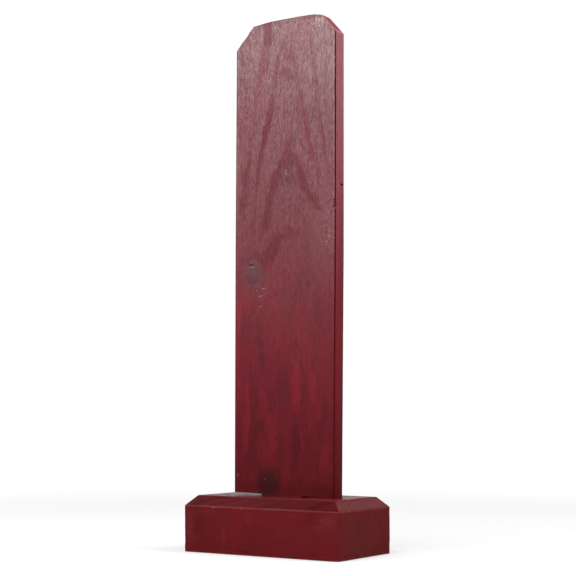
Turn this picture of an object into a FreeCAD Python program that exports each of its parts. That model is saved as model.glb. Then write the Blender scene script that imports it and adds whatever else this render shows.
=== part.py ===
import FreeCAD, Part
import os

# An ancestor tablet: an upright plank whose tenon drops into a bevelled block.
# Millimetres. +Z is up, the tablet faces -Y, and the origin is the middle of the block's underside.

# Block
block_width = 150.0
block_depth = 83.0
block_side_height = 38.2
bevel_inset = 8.0
bevel_rise = 8.3

# Plank
plank_width = 100.0
plank_thickness = 13.7
plank_height = 402.4            # from the top of the block to the crown of the plank
plank_centre_x = 2.5            # the plank stands a little right of the block's middle
plank_centre_y = -2.1           # and a little in front of it
arris_easing = 0.75             # the long arrises are taken off this far

# The plank's sides run slightly in towards the shoulders, below this height over the block
taper_height = 204.0
left_taper = 0.8
right_taper = 1.5

# Corner cuts, each measured from the plank's side and from the crown
left_cut_width = 17.5
left_cut_height = 21.0
left_cut_top_drop = 2.2
left_worn_length = 17.5         # the top runs down to the left cut over this length
right_cut_width = 13.7
right_cut_height = 17.2
right_cut_top_drop = 1.8
right_worn_length = 7.0
crown_drop = 0.4                # the top edge falls this much from its crown to where it starts to wear
crown_centre_x = 18.0

# Tenon and mortise
tenon_width = 39.6
tenon_centre_x = 0.4
tenon_short = 1.5               # the tenon stops this far above the block's underside
tenon_tip_easing = 1.5
fit_clearance = 0.35            # round the tenon on every side
left_shoulder_lift = 2.1        # the shoulder line is cut askew, so its left end stands clear of the block

block_height = block_side_height + bevel_rise
crown_z = block_height + plank_height
plank_left = plank_centre_x - plank_width / 2
plank_right = plank_centre_x + plank_width / 2
plank_front = plank_centre_y - plank_thickness / 2
foot_left = plank_left + left_taper
foot_right = plank_right - right_taper
tenon_left = tenon_centre_x - tenon_width / 2
tenon_right = tenon_centre_x + tenon_width / 2


def shoulder_z(x):
    """Height of the askew shoulder line, which touches the block at the plank's right side."""
    lift_per_mm = left_shoulder_lift / (foot_right - foot_left)
    return block_height + (foot_right - x) * lift_per_mm


def closed_face(points):
    corners = [FreeCAD.Vector(*point) for point in points]
    return Part.Face(Part.makePolygon(corners + corners[:1]))


def rectangle_at(width, depth, height):
    """A level rectangle centred on the block's axis, at the given height."""
    half_width = width / 2
    half_depth = depth / 2
    corners = [
        FreeCAD.Vector(-half_width, -half_depth, height),
        FreeCAD.Vector(half_width, -half_depth, height),
        FreeCAD.Vector(half_width, half_depth, height),
        FreeCAD.Vector(-half_width, half_depth, height),
    ]
    return Part.makePolygon(corners + corners[:1])


def make_block():
    """The block: upright sides, a bevel planed round the top, and a mortise right through."""
    sides = Part.makeBox(
        block_width,
        block_depth,
        block_side_height,
        FreeCAD.Vector(-block_width / 2, -block_depth / 2, 0),
    )
    bevelled_top = Part.makeLoft(
        [
            rectangle_at(block_width, block_depth, block_side_height),
            rectangle_at(block_width - 2 * bevel_inset, block_depth - 2 * bevel_inset, block_height),
        ],
        True,
        True,
    )
    mortise = Part.makeBox(
        tenon_width + 2 * fit_clearance,
        plank_thickness + 2 * fit_clearance,
        block_height,
        FreeCAD.Vector(tenon_left - fit_clearance, plank_front - fit_clearance, 0),
    )
    return sides.fuse(bevelled_top).cut(mortise).removeSplitter()


def plank_outline():
    """The plank's outline seen from the front, without the tenon, anticlockwise from the right shoulder."""
    taper_z = block_height + taper_height
    crown_edge_z = crown_z - crown_drop
    outline = [
        (foot_right, shoulder_z(foot_right)),
        (plank_right, taper_z),
        (plank_right, crown_z - right_cut_height),
        (plank_right - right_cut_width, crown_z - right_cut_top_drop),
        (plank_right - right_cut_width - right_worn_length, crown_edge_z),
        (crown_centre_x, crown_z),
        (plank_left + left_cut_width + left_worn_length, crown_edge_z),
        (plank_left + left_cut_width, crown_z - left_cut_top_drop),
        (plank_left, crown_z - left_cut_height),
        (plank_left, taper_z),
        (foot_left, shoulder_z(foot_left)),
    ]
    return [(x, plank_front, z) for x, z in outline]


def is_long_arris(edge):
    """True for the four arrises that run up the plank's sides."""
    start, end = (vertex.Point for vertex in edge.Vertexes)
    run_x = abs(end.x - start.x)
    run_y = abs(end.y - start.y)
    run_z = abs(end.z - start.z)
    steep = run_z > 5 * max(run_x, run_y)
    return steep and run_y < fit_clearance


def make_plank():
    """The plank with its long arrises eased, and the tenon that is cut from its foot."""
    board = closed_face(plank_outline()).extrude(FreeCAD.Vector(0, plank_thickness, 0))
    long_arrises = [edge for edge in board.Edges if is_long_arris(edge)]
    board = board.makeChamfer(arris_easing, long_arrises)
    tip_left = tenon_left + tenon_tip_easing
    tip_right = tenon_right - tenon_tip_easing
    tenon_profile = [
        (tenon_left, shoulder_z(tenon_left)),
        (tenon_left, tenon_short + tenon_tip_easing),
        (tip_left, tenon_short),
        (tip_right, tenon_short),
        (tenon_right, tenon_short + tenon_tip_easing),
        (tenon_right, shoulder_z(tenon_right)),
    ]
    tenon_face = closed_face([(x, plank_front, z) for x, z in tenon_profile])
    tenon = tenon_face.extrude(FreeCAD.Vector(0, plank_thickness, 0))
    return board.fuse(tenon).removeSplitter()


pieces = {
    "base_block": make_block(),
    "tablet_board": make_plank(),
}

os.makedirs("parts", exist_ok=True)
for node_name, shape in pieces.items():
    shape.exportStep("parts/" + node_name + ".step")
    box = shape.BoundBox
    print(node_name, "solids", len(shape.Solids), "valid", shape.isValid(), "volume", round(shape.Volume, 1))
    print("  x %.2f %.2f  y %.2f %.2f  z %.2f %.2f" % (box.XMin, box.XMax, box.YMin, box.YMax, box.ZMin, box.ZMax))
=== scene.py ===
import math

import bpy
import numpy as np
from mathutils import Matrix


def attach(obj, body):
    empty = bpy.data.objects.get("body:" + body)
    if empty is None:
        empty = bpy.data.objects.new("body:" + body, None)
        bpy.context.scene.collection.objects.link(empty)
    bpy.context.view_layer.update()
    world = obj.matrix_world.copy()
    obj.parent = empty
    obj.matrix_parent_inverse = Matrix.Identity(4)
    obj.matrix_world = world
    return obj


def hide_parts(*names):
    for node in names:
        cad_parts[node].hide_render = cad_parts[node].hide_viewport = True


# An ancestor tablet: a red-stained plank whose tenon drops into a bevelled block.
# The frame is in metres. The dictionaries below are in millimetres unless they say otherwise.

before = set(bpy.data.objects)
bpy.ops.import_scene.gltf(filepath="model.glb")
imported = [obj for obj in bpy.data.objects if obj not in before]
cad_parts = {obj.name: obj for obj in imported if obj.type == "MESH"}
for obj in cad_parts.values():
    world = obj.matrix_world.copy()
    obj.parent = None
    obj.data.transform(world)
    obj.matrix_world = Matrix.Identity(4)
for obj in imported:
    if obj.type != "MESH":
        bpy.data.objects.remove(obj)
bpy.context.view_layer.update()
mm = 0.001
print("frame loaded:", sorted(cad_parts))

camera = {
    "place": (655.99, -1012.10, 117.29),
    "turn": 32.93,       # degrees, from straight in front towards the tablet's right
    "tilt": 4.87,        # degrees, upwards
    "roll": 0.20,        # degrees
    "lens": 89.83,       # focal length on a 36 mm sensor
    "farthest": 50.0,    # metres
}


def axesMatrix(right, up, back, place):
    # the columns are the three axes and the place
    matrix = np.eye(4)
    matrix[:3, 0], matrix[:3, 1], matrix[:3, 2], matrix[:3, 3] = right, up, back, place
    return matrix.T.tolist()


def addCamera(view):
    # forward from turn and tilt; right is level; up is right x forward; both are then turned by the roll
    turn, tilt, roll = (math.radians(view[key]) for key in ("turn", "tilt", "roll"))
    forward = np.array([-math.sin(turn) * math.cos(tilt), math.cos(turn) * math.cos(tilt), math.sin(tilt)])
    level = np.array([math.cos(turn), math.sin(turn), 0.0])
    upright = np.cross(level, forward)
    right = level * math.cos(roll) + upright * math.sin(roll)
    up = upright * math.cos(roll) - level * math.sin(roll)
    data = bpy.data.cameras.new("camera")
    data.lens = view["lens"]
    data.clip_end = view["farthest"]
    item = bpy.data.objects.new("camera", data)
    bpy.context.scene.collection.objects.link(item)
    item.matrix_world = axesMatrix(right, up, -forward, np.array(view["place"]) * mm)
    bpy.context.scene.camera = item


addCamera(camera)
bpy.context.scene.view_settings.view_transform = "Standard"
print("camera placed")


def newPiece(name, points, quads, attributes=None):
    # points in millimetres; points that agree to a ten-thousandth of one are merged, so that patches share borders
    keys = np.round(points * 1e4).astype(np.int64)
    _, first, merged = np.unique(keys, axis=0, return_index=True, return_inverse=True)
    faces = merged.reshape(-1)[quads]
    mesh = bpy.data.meshes.new(name)
    mesh.from_pydata((points[first] * mm).tolist(), [], faces.tolist())
    mesh.polygons.foreach_set("use_smooth", np.ones(len(mesh.polygons), bool))
    for key, values in (attributes or {}).items():
        layer = mesh.attributes.new(key, "FLOAT", "POINT")
        layer.data.foreach_set("value", values[first].astype(np.float32))
    mesh.update()
    item = bpy.data.objects.new(name, mesh)
    bpy.context.scene.collection.objects.link(item)
    return item


def gridQuads(rows, columns, start=0, flip=False, loopRows=False, loopColumns=False):
    # quad (i, j) joins points (i, j), (i, j+1), (i+1, j+1), (i+1, j) of a grid stored row by row
    i, j = np.meshgrid(np.arange(rows - (not loopRows)), np.arange(columns - (not loopColumns)), indexing="ij")
    nextI, nextJ = (i + 1) % rows, (j + 1) % columns
    corners = [i * columns + j, i * columns + nextJ, nextI * columns + nextJ, nextI * columns + j]
    quads = np.stack(corners, -1).reshape(-1, 4) + start
    return quads[:, ::-1] if flip else quads


def smoothStep(low, high, value):
    # 0 below low, 1 above high, and 3t^2 - 2t^3 between
    t = np.clip((value - low) / (high - low), 0, 1)
    return t * t * (3 - 2 * t)


def waves(u, v, seed, length, count=9):
    # a sum of cosines that run in random directions, about one length long each, scaled to about -1..1
    rng = np.random.default_rng(seed)
    angles, phases = rng.uniform(0, math.pi, count), rng.uniform(0, 2 * math.pi, count)
    total = np.zeros(np.broadcast(u, v).shape)
    for angle, phase, stretch in zip(angles, phases, rng.uniform(0.6, 1.6, count)):
        total += np.cos((u * math.cos(angle) + v * math.sin(angle)) * 2 * math.pi / (length * stretch) + phase)
    return total / math.sqrt(count)


def easeArris(a, b, radius, power=1.2):
    # a and b are the depths below the two faces that meet; within the radius of both, the corner is pulled in so
    # that (r - a)^p + (r - b)^p = r^p: p of 1 is a flat chamfer, 2 is a round
    da, db = np.maximum(radius - a, 0), np.maximum(radius - b, 0)
    inside = (da > 0) & (db > 0)
    size = np.where(inside, (da ** power + db ** power) ** (1 / power), 1.0)
    scale = np.where(inside, np.maximum(da, db) / np.maximum(size, 1e-9), 1.0)
    return np.where(inside, radius - da * scale, a), np.where(inside, radius - db * scale, b)


def edgeSpread(low, high, spacing, reach=1.2):
    # evenly spaced values from low to high, and closer ones within reach of both ends
    near = np.array([0, 0.15, 0.3, 0.45, 0.6, 0.75, 0.95, 1.2]) * reach / 1.2
    count = max(2, int(round((high - low - 2 * reach) / spacing)) + 1)
    middle = np.linspace(low + reach, high - reach, count)
    return np.concatenate([low + near[:-1], middle, (high - near[:-1])[::-1]])


# the grain on the board's face; each path is a row of (across, up, half width, strength), and across and up are
# the board's X and Z
grain = {
    # late wood, where the varnish sheds less light: the share of the sheen that it takes away
    "bands": [
        # the outermost ring, left
        [(-15, 447, 4.6, 0.42), (-15, 431, 4.8, 0.42)],
        [(-16, 430, 5.2, 0.26), (-20, 412, 4.6, 0.27), (-23, 401, 3.2, 0.24)],
        [(-23, 402, 2.4, 0.24), (-27, 386, 2.0, 0.22), (-29, 366, 1.6, 0.18), (-32, 345, 1.6, 0.12)],
        [(-9, 441, 1.4, 0.22), (-10, 430, 1.2, 0.2)], [(-36, 437, 2.6, 0.22), (-34, 430, 2.4, 0.2)],
        [(-43, 438, 3.4, 0.14), (-42, 428, 3.4, 0.14)], [(13, 440, 4.4, 0.12), (12, 431, 4.4, 0.1)],
        [(-41, 421, 2.8, 0.14), (-41, 414, 2.4, 0.12)], [(-36, 400, 2.2, 0.12), (-38, 392, 2.6, 0.18)],
        [(-40, 372, 1.4, 0.16), (-42, 358, 1.4, 0.16), (-43, 345, 1.6, 0.12)],
        [(-38, 389, 1.6, 0.14), (-38, 382, 1.4, 0.12)], [(-34, 335, 1.8, 0.2), (-31, 332, 1.8, 0.2)],
        [(-35, 324, 3.0, 0.24), (-38, 313, 3.4, 0.28), (-37, 301, 3.4, 0.24)],
        [(-40, 298, 3.0, 0.3), (-40, 289, 3.4, 0.32), (-41, 283, 2.2, 0.2)],
        [(-37, 293, 2.6, 0.26), (-33, 293, 2.4, 0.24)],
        # first arch, left arm
        [(3, 433, 2.8, 0.12), (-2, 424, 2.6, 0.2), (-5, 410, 2.2, 0.32), (-7, 400, 2.2, 0.3),
         (-9, 388, 2.0, 0.17), (-11, 377, 3.0, 0.34), (-13, 368, 4.0, 0.46), (-15, 359, 3.6, 0.47),
         (-17, 351, 2.6, 0.46), (-21, 336, 2.1, 0.42), (-24, 322, 2.1, 0.36), (-26, 305, 1.8, 0.26),
         (-28, 285, 1.7, 0.2), (-30, 273, 3.0, 0.22), (-31, 264, 3.0, 0.1)],
        # first arch, right arm
        [(4, 433, 2.8, 0.12), (9, 423, 2.4, 0.15), (12, 405, 2.2, 0.2), (15, 392, 2.6, 0.2),
         (19, 379, 2.6, 0.22), (22, 365, 2.2, 0.3), (25, 352, 2.1, 0.32), (27, 340, 2.8, 0.3),
         (30, 328, 3.0, 0.27), (35, 316, 2.2, 0.2), (38, 300, 2.0, 0.1)],
        [(17, 374, 3.0, 0.18), (18, 361, 3.0, 0.18)], [(1, 427, 4.2, 0.22), (5, 418, 5.0, 0.25)],
        [(1, 403, 4.0, 0.26), (8, 399, 4.4, 0.26)], [(8, 418, 2.0, 0.2), (11, 410, 2.0, 0.18)],
        # the next ring, right
        [(21, 444, 2.0, 0.1), (28, 430, 2.4, 0.22), (30, 416, 3.0, 0.2), (32, 397, 2.6, 0.2),
         (34, 380, 2.3, 0.24), (37, 361, 2.3, 0.28), (39, 349, 2.4, 0.3), (41, 340, 2.2, 0.32),
         (43, 323, 1.7, 0.2), (45, 305, 1.6, 0.1)],
        [(25, 426, 1.5, 0.12), (27, 411, 1.5, 0.1)],
        [(42, 393, 1.4, 0.14), (44, 368, 1.8, 0.2), (46, 350, 1.4, 0.14), (47, 330, 1.3, 0.1)],
        # second arch: the tip and what it encloses, the left arm, the right arm
        [(5.6, 341, 2.0, 0.3), (6.4, 332, 4.6, 0.34), (7.4, 324, 7.8, 0.34)],
        [(0, 312, 4.2, 0.24), (12, 311, 4.4, 0.26)],
        [(3, 328, 3.2, 0.34), (-3, 321, 3.6, 0.38), (-7, 312, 4.4, 0.38), (-9, 303, 3.8, 0.35),
         (-13, 295, 3.8, 0.35), (-15, 285, 4.6, 0.33), (-16, 277, 4.0, 0.34), (-20, 270, 2.6, 0.28),
         (-22, 262, 1.9, 0.18)],
        [(12, 328, 4.0, 0.34), (18, 317, 3.6, 0.38), (21, 304, 4.4, 0.35), (26, 299, 3.2, 0.35),
         (30, 291, 3.8, 0.36), (34, 287, 3.6, 0.38), (37, 284, 2.2, 0.3)],
        [(14, 286, 2.8, 0.16), (15, 279, 2.6, 0.14)],
        # thin dark outlines of the arches
        [(5.4, 342, 1.2, 0.3), (2.0, 334.5, 1.2, 0.4), (-1.6, 326.7, 1.2, 0.42), (-5.9, 321.6, 1.3, 0.44),
         (-9.5, 315.8, 1.3, 0.42), (-11.7, 309.2, 1.2, 0.42), (-12.8, 302, 1.2, 0.4),
         (-15.2, 293.7, 1.2, 0.4), (-17.4, 285.3, 1.2, 0.38), (-19.5, 275.7, 1.2, 0.32),
         (-21.6, 267.3, 1.2, 0.2)],
        [(5.4, 342, 1.2, 0.3), (10.2, 333.6, 1.2, 0.4), (15.5, 325.1, 1.3, 0.42), (18.4, 319.4, 1.4, 0.44),
         (21.2, 312.5, 1.4, 0.42), (24.8, 306.2, 1.3, 0.42), (27.6, 300, 1.4, 0.42),
         (29.7, 293.8, 1.4, 0.44), (33.2, 289.4, 1.5, 0.42), (36.7, 286.1, 1.4, 0.3)],
        [(-15.6, 353.8, 1.1, 0.5), (-18.5, 347.9, 1.1, 0.5), (-21.3, 340.8, 1.1, 0.46),
         (-23.5, 332.4, 1.1, 0.42), (-24.9, 323.9, 1.0, 0.38), (-26.3, 312.9, 1.0, 0.3),
         (-27, 300.7, 1.0, 0.22)],
        [(21.1, 359.7, 1.0, 0.34), (24.6, 352, 1.0, 0.38), (27.5, 343.3, 1.1, 0.38),
         (30.3, 334.6, 1.1, 0.34), (33.8, 325.8, 1.0, 0.26)],
        [(-31.6, 336.8, 1.0, 0.26), (-35.3, 329.8, 1.1, 0.32), (-37.4, 318.8, 1.1, 0.34),
         (-38.1, 306.5, 1.1, 0.32), (-38.8, 296.7, 1.1, 0.3)],
        # third arch
        [(1, 266, 3.0, 0.24), (-4, 262, 4.6, 0.3), (-8, 255, 5.6, 0.36), (-12, 247, 6.2, 0.34),
         (-16, 239, 7.0, 0.2)],
        [(2, 264, 3.0, 0.2), (10, 267, 3.2, 0.26), (20, 262, 3.6, 0.14)],
        [(-28, 250, 3.2, 0.2), (-22, 246, 3.4, 0.2)],
    ],
    # stains that darken the wood below the varnish (above nought) and spots that let more red through (below it)
    "stains": [
        [(0, 152, 5, 0.14), (1, 138, 7, 0.26), (2, 122, 6, 0.2), (2, 112, 5, 0.12)],
        [(-11, 138, 4, 0.12), (-10, 127, 4.4, 0.26), (-10, 117, 4, 0.16)],
        [(-29, 150, 4, 0.1), (-29, 135, 3.6, 0.2), (-27, 118, 4.6, 0.2), (-27, 100, 4.6, 0.26),
         (-28, 88, 5, 0.27), (-31, 76, 5, 0.22), (-25, 68, 6, 0.14)],
        [(22, 152, 2.6, 0.1), (21.5, 138, 3, 0.2), (22, 122, 3.6, 0.2), (22, 108, 4, 0.12)],
        [(12, 112, 3, 0.14), (13, 103, 4, 0.3), (14, 90, 5.6, 0.3), (14, 78, 4, 0.22), (13, 70, 3, 0.1)],
        [(43, 126, 3, 0.14), (42, 116, 4, 0.26), (39, 106, 3.6, 0.22), (38, 94, 4, 0.14)],
        [(-19, 104, 4.6, 0.24), (-18, 95, 4, 0.14)], [(1, 100, 3, 0.08), (0, 84, 5, 0.16)],
        [(-21, 172, 3.6, 0.14), (-20, 160, 3, 0.2), (-20, 150, 3, 0.12)],
        [(-24, 192, 4, 0.12), (-24, 178, 4, 0.18)], [(-37, 190, 5, 0.1), (-38, 180, 4.4, 0.12)],
        [(28, 97, 4, 0.14), (27, 86, 4, 0.12)], [(-40, 75, 5, 0.1), (-38, 66, 7, 0.14)],
        [(20, 228, 5, 0.1), (19, 214, 5, 0.12)], [(36, 202, 5, 0.1), (37, 192, 4, 0.1)],
        [(10, 50, 9, 0.1), (42, 50, 9, 0.14)], [(7, 335, 3, 0.08), (8, 322, 8, 0.12), (4, 310, 8, 0.08)],
        [(-13, 362, 4, 0.04), (-18, 345, 4, 0.07), (-22, 332, 4, 0.08), (-25, 318, 5, 0.08),
         (-22, 300, 5, 0.05)],
        [(-35, 324, 5, 0.06), (-38, 308, 6, 0.1), (-40, 290, 5, 0.1)],
        [(10, 266, 5, 0.07), (8, 262, 5, 0.05)], [(-10, 252, 7, 0.08), (-13, 246, 7, 0.06)],
        [(1, 300, 7, 0.07), (2, 288, 7, 0.05)], [(9, 222, 7, 0.08), (9, 212, 7, 0.08)],
        [(-4, 318, 5, 0.08), (-12, 295, 6, 0.12), (-17, 276, 5, 0.1)],
        [(18, 316, 4, 0.08), (24, 300, 5, 0.12), (35, 286, 4, 0.14)],
        [(-4, 262, 7, 0.09), (-14, 248, 9, 0.1)],
        [(15, 158, 3, -0.13), (15, 145, 3.6, -0.22), (14.5, 132, 3.6, -0.24), (15, 122, 3, -0.12)],
        [(30, 147, 4.6, -0.2), (30, 134, 4.6, -0.22), (34, 124, 4, -0.12), (36, 114, 2.6, -0.16)],
        [(-18, 132, 3.6, -0.12), (-18, 122, 3.6, -0.16)], [(-36, 140, 3, -0.12), (-36, 126, 3, -0.16)],
        [(-35, 114, 3.6, -0.27), (-35, 104, 4, -0.26), (-36, 88, 3, -0.16)],
        [(-14, 112, 3, -0.12), (-10, 95, 4, -0.2), (-7, 86, 4, -0.2)],
        [(-17, 88, 3, -0.2), (-15, 80, 3.6, -0.3), (-17, 74, 3, -0.2)],
        [(44, 88, 3, -0.14), (42, 78, 5, -0.28), (40, 70, 4, -0.2)],
        [(24, 178, 4, -0.14), (25, 158, 4, -0.14)], [(17, 197, 4, -0.12), (17, 181, 4, -0.12)],
        [(-6, 181, 4, -0.14), (-6, 172, 4, -0.1)],
        [(-43.5, 206, 2.6, -0.2), (-43.5, 180, 2.6, -0.14), (-44, 120, 2.2, -0.12)],
        [(-37, 217, 4, -0.2), (-37, 207, 4.4, -0.2)], [(-7, 207, 4.4, -0.14), (-6, 199, 4, -0.1)],
        [(-17, 223, 3.4, -0.14), (-18, 215, 3.4, -0.1)], [(5, 64, 4, -0.16), (3, 55, 3, -0.12)],
        [(-28, 62, 5, -0.1), (-26, 57, 3, -0.12)],
        # broad and faint ones
        [(-38, 172, 9, 0.07), (-37, 148, 9, 0.09)], [(-20, 170, 7, 0.07), (-14, 150, 8, 0.1)],
        [(1, 168, 7, 0.05), (4, 150, 7, 0.05)], [(-42, 110, 4, 0.06), (-42, 86, 4, 0.1)],
        [(47, 232, 4, -0.08), (47, 205, 4, -0.1)], [(47, 156, 3, -0.04), (47, 118, 3, -0.04)],
    ],
    "core": 0.55, "rim": 1.3,         # a path is full up to the core and gone at the rim, in half widths
    "waver": [(0.5, 1.8, 6), (0.3, 1.0, 3.4)],        # sideways: size, stretch along the grain, wave length
    "bob": (2.4, 5),                                  # up and down: size, wave length
    "frontEnds": (-8.0, -8.8),                        # Y where the front face starts and is full
    "lowest": 47.0,                                   # Z under which no grain is read
}


def pathField(x, z, paths, merge):
    # distance to each run of a path over the half width there: 1 - smooth step of it between the core and the rim,
    # times the strength there; the runs of one path and then the paths are merged
    total = np.zeros(x.shape)
    for path in paths:
        here = np.zeros(x.shape)
        for (x0, z0, w0, s0), (x1, z1, w1, s1) in zip(path[:-1], path[1:]):
            runX, runZ = x1 - x0, z1 - z0
            t = np.clip(((x - x0) * runX + (z - z0) * runZ) / (runX ** 2 + runZ ** 2), 0, 1)
            far = np.hypot(x - x0 - t * runX, z - z0 - t * runZ) / (w0 + (w1 - w0) * t)
            value = (s0 + (s1 - s0) * t) * (1 - smoothStep(grain["core"], grain["rim"], far))
            here = np.where(np.abs(value) > np.abs(here), value, here)
        total = merge(total, here)
    return total


def faceGrain(points):
    # bands and stains of the front face; waves move the places at which their paths are read, so the outlines waver
    x, y, z = points.T
    seed = board["seed"] + 20
    slow, fast = (size * waves(x, z / stretch, seed + number, length)
                  for number, (size, stretch, length) in enumerate(grain["waver"]))
    x = x + slow + fast
    size, length = grain["bob"]
    z = z + size * waves(x / 1.3, z / 3, seed + 2, length)
    onFront = smoothStep(*grain["frontEnds"], y) * (z > grain["lowest"])
    bands = pathField(x, z, grain["bands"], np.maximum)
    stains = pathField(x, z, grain["stains"], np.add)
    return bands * onFront, stains * onFront


# the tablet's board
board = {
    "left": -47.5, "right": 52.5,
    "front": -8.95, "back": 4.75,
    "footLeft": -46.7, "footRight": 51.0, "taperTop": 250.5,      # the sides run in below this height
    "shoulderLow": 46.5, "shoulderHigh": 48.6,                    # height of the askew shoulder, right and left
    "tenonLeft": -19.4, "tenonRight": 20.2, "tenonFoot": 1.5, "tenonEase": 1.5,
    "top": [(-47.5, 427.9), (-30.0, 446.7), (-12.5, 448.5), (18.0, 448.9), (31.8, 448.5), (38.8, 447.1),
            (52.5, 431.7)],
    "crown": 448.9,
    "arris": 0.42, "viewedArris": 1.02,                           # how far the long arrises are taken off
    "cornerArris": 0.5, "footArris": 0.35, "tenonArris": 0.3,
    "wearReach": 1.6,                                             # how far the wear spreads from an arris
    # height, half length and depth: a chip on the right front arris, and a nick behind the right side's middle
    "chip": (287.0, 5.0, 0.45), "nick": (303.6, 0.7, 0.12),
    "planeHollow": (0.07, 38),                                    # the hand plane's waves: depth and length
    "knots": [(-29, 234, 9.5), (-13, 55, 11.5)],                  # across, up, radius
    "knotGroove": 0.05, "knotDome": 0.04,
    "sharpAngle": 50,                                             # degrees between faces that stay sharp
    # the mesh: how far its points lie apart, the level rows between which they are even, and the finer rows at the
    # chip and the nick (from, to, step)
    "spacing": 1.3, "levels": (60, 395), "fineRows": [(279, 296, 0.6), (301.6, 305.8, 0.3)],
    "seed": 11,
}


def boardTop(x):
    # the top edge runs straight between its corners
    return np.interp(x, *zip(*board["top"]))


def shoulder(x):
    # the shoulder line falls evenly from the left side to the right
    return np.interp(x, [board["footLeft"], board["footRight"]], [board["shoulderHigh"], board["shoulderLow"]])


def boardHeight(x, row):
    # row 0 is the shoulder, 1 and 2 are the two level lines, and 3 is the top edge; heights between are even
    foot, top = shoulder(x), boardTop(x)
    low, high = board["levels"]
    return (foot + (low - foot) * np.clip(row, 0, 1) + (high - low) * np.clip(row - 1, 0, 1)
            + (top - high) * np.clip(row - 2, 0, 1))


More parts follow.
